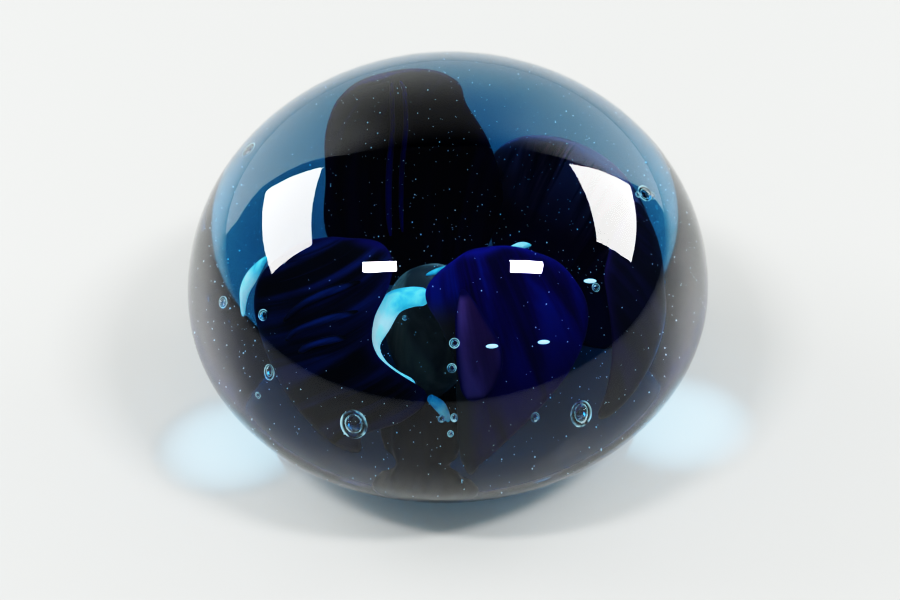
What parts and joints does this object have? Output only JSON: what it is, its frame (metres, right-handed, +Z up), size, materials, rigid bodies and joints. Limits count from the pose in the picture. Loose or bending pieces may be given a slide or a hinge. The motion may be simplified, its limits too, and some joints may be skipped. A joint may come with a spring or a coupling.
{
  "type": "paperweight",
  "caption": "Squat round art-glass paperweight: clear aqua glass with a flat base, holding a sealed dark blue flower of petals, streaks and air bubbles. Weighs paper down.",
  "frame": {"origin": "centre of the flat base, on the surface the paperweight stands on", "axes": "+Z up through the crown; the front of the flower faces -Y and +X is to the right seen from the front"},
  "size_m": [0.089, 0.089, 0.0623],
  "materials": {
    "clear_glass": "polished clear aqua glass, ground flat underneath",
    "dark_petal_glass": "near-black cobalt glass, nearly opaque",
    "cobalt_petal_glass": "deep cobalt glass with darker streaks",
    "violet_petal_glass": "dark violet-blue glass",
    "cobalt_streak_glass": "bright cobalt trailed glass",
    "violet_streak_glass": "violet trailed glass",
    "aqua_glass": "pale aqua glass",
    "smoky_glass": "smoky brown-black glass"
  },
  "bodies": {
    "root": {"aqua_crescent": "aqua_glass", "aqua_edge": "aqua_glass", "aqua_sliver": "aqua_glass", "aqua_tail": "aqua_glass", "clear_casing": "clear_glass", "cobalt_feather_lower": "cobalt_streak_glass", "cobalt_feather_middle": "cobalt_streak_glass", "cobalt_feather_upper": "cobalt_streak_glass", "cobalt_trail_left": "cobalt_streak_glass", "cobalt_trail_right": "cobalt_streak_glass", "flower_root": "dark_petal_glass", "petal_back_right": "violet_petal_glass", "petal_back_tall": "dark_petal_glass", "petal_front_left": "dark_petal_glass", "petal_front_right": "cobalt_petal_glass", "petal_side_right": "dark_petal_glass", "smoky_core": "smoky_glass", "violet_ribbon": "violet_streak_glass"}
  },
  "joints": []
}
